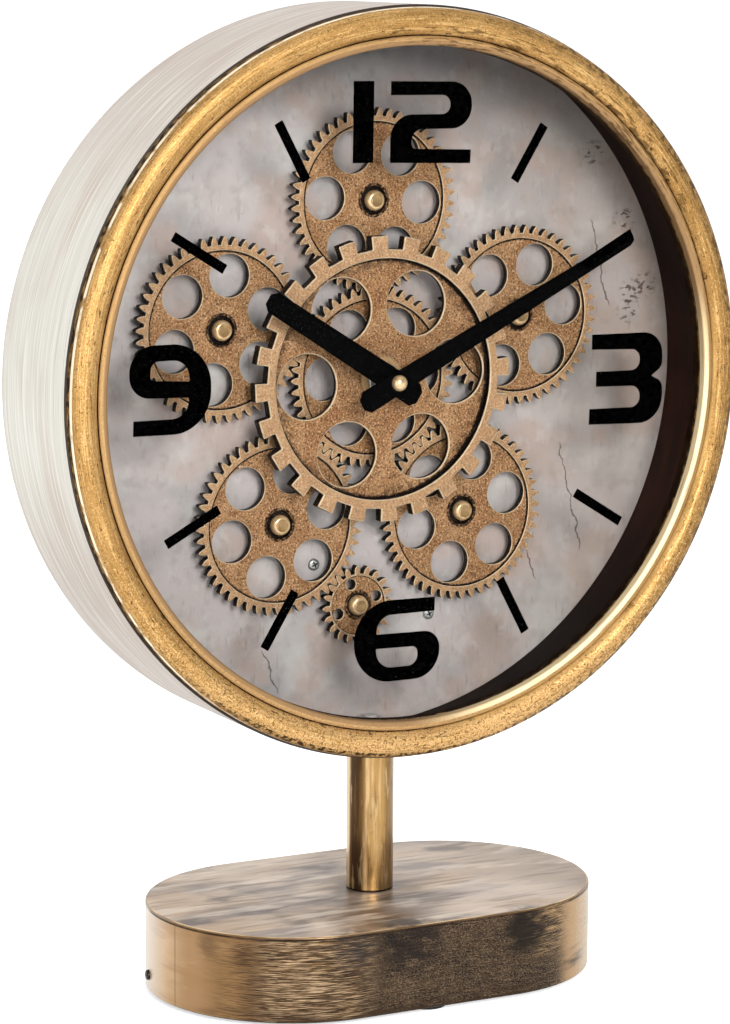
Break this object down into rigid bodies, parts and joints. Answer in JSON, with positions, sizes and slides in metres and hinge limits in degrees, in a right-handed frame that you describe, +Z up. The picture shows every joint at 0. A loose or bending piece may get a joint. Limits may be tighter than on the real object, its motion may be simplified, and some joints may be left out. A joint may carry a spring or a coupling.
{
  "type": "gear table clock",
  "caption": "Round table clock with a pale metal drum, gold bezel, glass, bar hands and an exposed gear train turning in front of a distressed dial, on a brass stem and an obround base.",
  "frame": {"origin": "floor level under the middle of the base, on the stem's axis", "axes": "+Z up, -Y the way the dial faces, +X to the right of a person who reads the dial"},
  "size_m": [0.312, 0.125, 0.4154],
  "materials": {
    "case_paint": "pale lacquer over sheet brushed along the rim",
    "bezel_gold": "stamped ring, antique gold with speckles and a dark rear edge",
    "stem_brass": "drawn tube, satin with light patina",
    "base_patina": "brushed sheet with grey and black patina",
    "gear_bronze": "moulded wheels in antique bronze paint with fine speckle",
    "stud_brass": "polished",
    "hand_black": "flat black",
    "plate_black": "flat black",
    "liner_brown": "satin dark brown",
    "dial_plaster": "printed steel sheet, distressed grey plaster look",
    "lens_glass": "clear flat pane",
    "sleeve_nylon": "natural nylon",
    "hardware_steel": "zinc plated",
    "unit_plastic": "moulded black",
    "cell_film": "plain printed film over a metal can, close to a cell's real mean density",
    "foot_rubber": "matt pad"
  },
  "bodies": {
    "case": {"base_plate": "plate_black", "base_screw_1": "hardware_steel", "base_screw_2": "hardware_steel", "base_shell": "base_patina", "bezel_ring": "bezel_gold", "block_screw_1": "hardware_steel", "block_screw_2": "hardware_steel", "block_screw_3": "hardware_steel", "block_screw_4": "hardware_steel", "case_drum": "case_paint", "clock_battery": "cell_film", "dial_block_1": "unit_plastic", "dial_block_2": "unit_plastic", "dial_block_3": "unit_plastic", "dial_block_4": "unit_plastic", "dial_plate": "dial_plaster", "foot_1": "foot_rubber", "foot_2": "foot_rubber", "foot_3": "foot_rubber", "foot_4": "foot_rubber", "glass_lens": "lens_glass", "hub_collar": "hardware_steel", "inner_liner": "liner_brown", "motor_battery": "cell_film", "motor_case": "unit_plastic", "motor_screw_1": "hardware_steel", "motor_screw_2": "hardware_steel", "movement_case": "unit_plastic", "movement_neck": "stud_brass", "neck_nut": "stud_brass", "neck_washer": "hardware_steel", "planet_pin_1": "stud_brass", "planet_pin_2": "stud_brass", "planet_pin_3": "stud_brass", "planet_pin_4": "stud_brass", "planet_pin_5": "stud_brass", "rear_ring": "case_paint", "stem_nut_lower": "hardware_steel", "stem_nut_upper": "hardware_steel", "stem_rod": "hardware_steel", "stem_tube": "stem_brass", "stem_washer_lower": "hardware_steel", "stem_washer_upper": "hardware_steel"},
    "sun": {"sun_gear": "gear_bronze", "hub_sleeve": "sleeve_nylon", "face_gear": "gear_bronze"},
    "planet_1": {"planet_gear_1": "gear_bronze"},
    "planet_2": {"planet_gear_2": "gear_bronze"},
    "planet_3": {"planet_gear_3": "gear_bronze"},
    "planet_4": {"planet_gear_4": "gear_bronze"},
    "planet_5": {"planet_gear_5": "gear_bronze"},
    "pinion": {"pinion_gear": "gear_bronze", "motor_shaft": "hardware_steel", "pinion_stud": "stud_brass"},
    "minute": {"minute_hand": "hand_black", "minute_arbor": "hardware_steel", "hand_cap": "stud_brass"},
    "hour": {"hour_hand": "hand_black", "hour_pipe": "stud_brass"},
    "knob": {"set_knob": "unit_plastic"}
  },
  "joints": [
    {"name": "sun_spin", "type": "hinge", "parent": "case", "child": "sun", "pos_m": [0, 0, 0.2594], "axis": [0, 1, 0], "continuous": true},
    {"name": "planet_1_spin", "type": "hinge", "parent": "case", "child": "planet_1", "pos_m": [0, 0, 0.33356], "axis": [0, 1, 0], "continuous": true},
    {"name": "planet_2_spin", "type": "hinge", "parent": "case", "child": "planet_2", "pos_m": [0.07053, 0, 0.28232], "axis": [0, 1, 0], "continuous": true},
    {"name": "planet_3_spin", "type": "hinge", "parent": "case", "child": "planet_3", "pos_m": [0.04359, 0, 0.1994], "axis": [0, 1, 0], "continuous": true},
    {"name": "planet_4_spin", "type": "hinge", "parent": "case", "child": "planet_4", "pos_m": [-0.04359, 0, 0.1994], "axis": [0, 1, 0], "continuous": true},
    {"name": "planet_5_spin", "type": "hinge", "parent": "case", "child": "planet_5", "pos_m": [-0.07053, 0, 0.28232], "axis": [0, 1, 0], "continuous": true},
    {"name": "pinion_spin", "type": "hinge", "parent": "case", "child": "pinion", "pos_m": [-0.00645, 0, 0.16226], "axis": [0, 1, 0], "continuous": true},
    {"name": "minute_spin", "type": "hinge", "parent": "case", "child": "minute", "pos_m": [0, 0, 0.2594], "axis": [0, 1, 0], "continuous": true},
    {"name": "hour_spin", "type": "hinge", "parent": "case", "child": "hour", "pos_m": [0, 0, 0.2594], "axis": [0, 1, 0], "continuous": true},
    {"name": "knob_spin", "type": "hinge", "parent": "case", "child": "knob", "pos_m": [0, 0, 0.2724], "axis": [0, 1, 0], "continuous": true}
  ],
  "couplings": [
    {"joint": "planet_1_spin", "follows": "sun_spin", "ratio": -1},
    {"joint": "planet_2_spin", "follows": "sun_spin", "ratio": -1},
    {"joint": "planet_3_spin", "follows": "sun_spin", "ratio": -1},
    {"joint": "planet_4_spin", "follows": "sun_spin", "ratio": -1},
    {"joint": "planet_5_spin", "follows": "sun_spin", "ratio": -1},
    {"joint": "pinion_spin", "follows": "sun_spin", "ratio": 2.4},
    {"joint": "hour_spin", "follows": "minute_spin", "ratio": 0.083333},
    {"joint": "knob_spin", "follows": "minute_spin", "ratio": 1}
  ]
}
